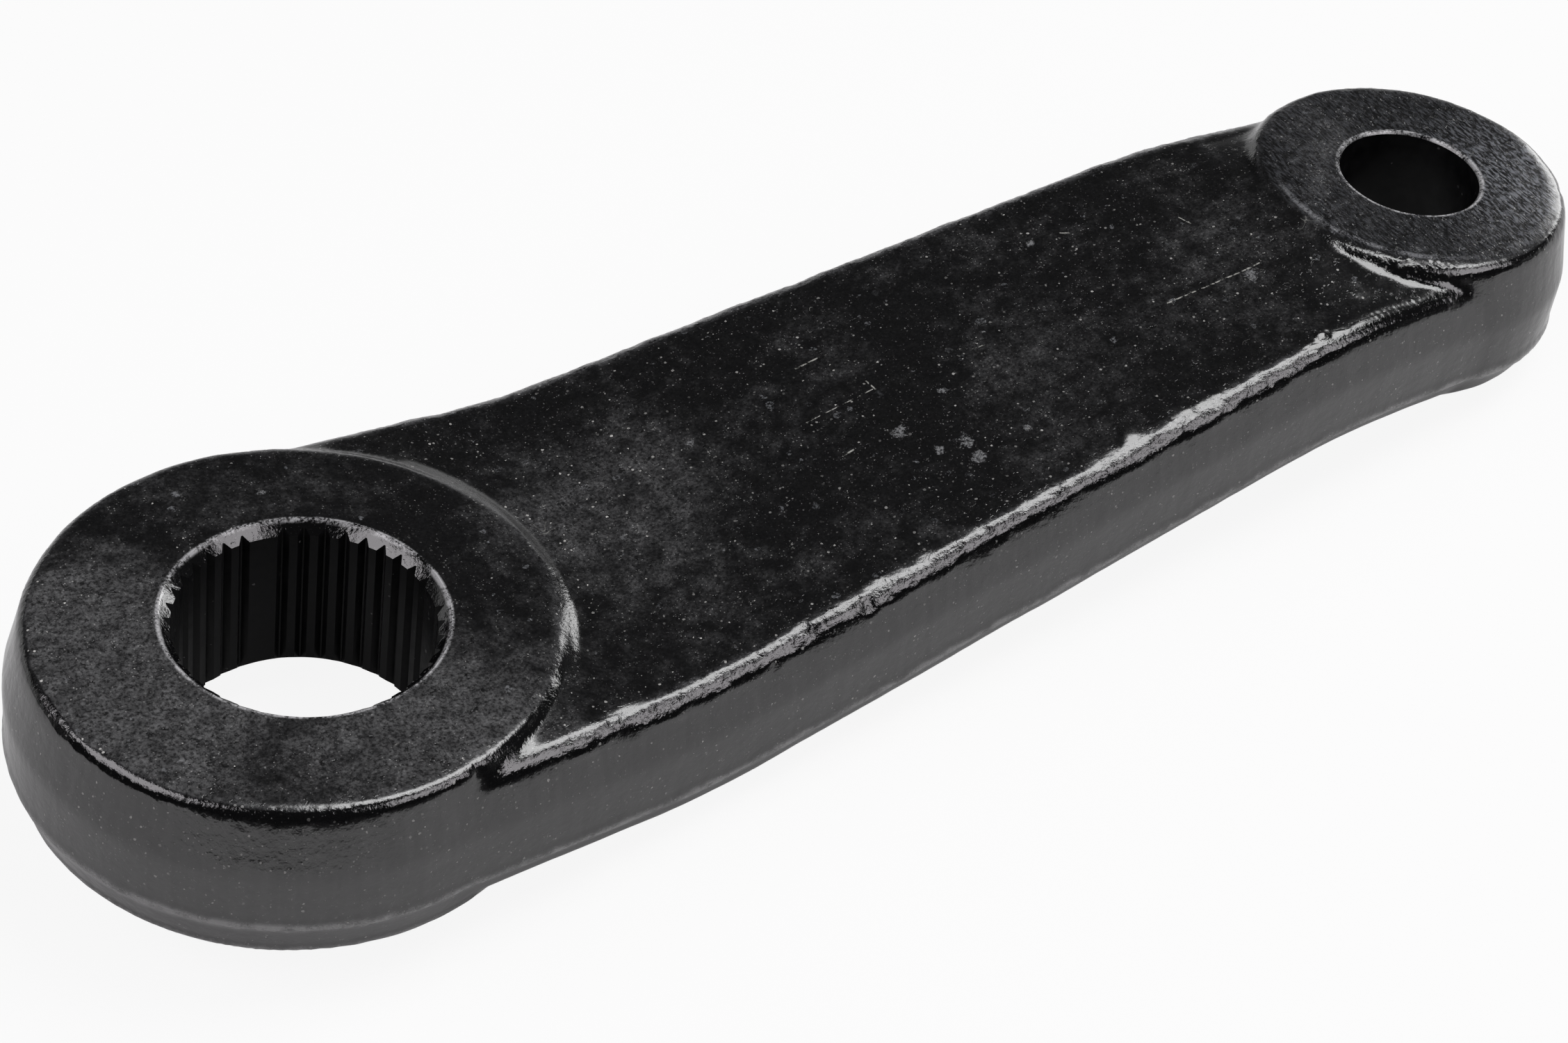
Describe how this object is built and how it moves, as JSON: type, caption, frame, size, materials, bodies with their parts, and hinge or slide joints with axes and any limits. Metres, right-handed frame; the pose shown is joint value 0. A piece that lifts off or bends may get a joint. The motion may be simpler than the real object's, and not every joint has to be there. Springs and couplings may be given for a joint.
{
  "type": "pitman arm",
  "caption": "Cranked forged pitman arm with a serrated eye for a steering sector shaft and a smaller, raised eye with a tapered hole for a ball stud.",
  "frame": {"origin": "middle of the serrated bore, on its axis", "axes": "+Z along the serrated bore towards the side that the ball stud eye is raised to, +X from the serrated bore to the ball stud eye"},
  "size_m": [0.2444, 0.0742, 0.0469],
  "materials": {
    "black_paint": "semi-gloss black paint over a rough forged skin"
  },
  "bodies": {
    "root": {"pitman_arm": "black_paint"}
  },
  "joints": []
}
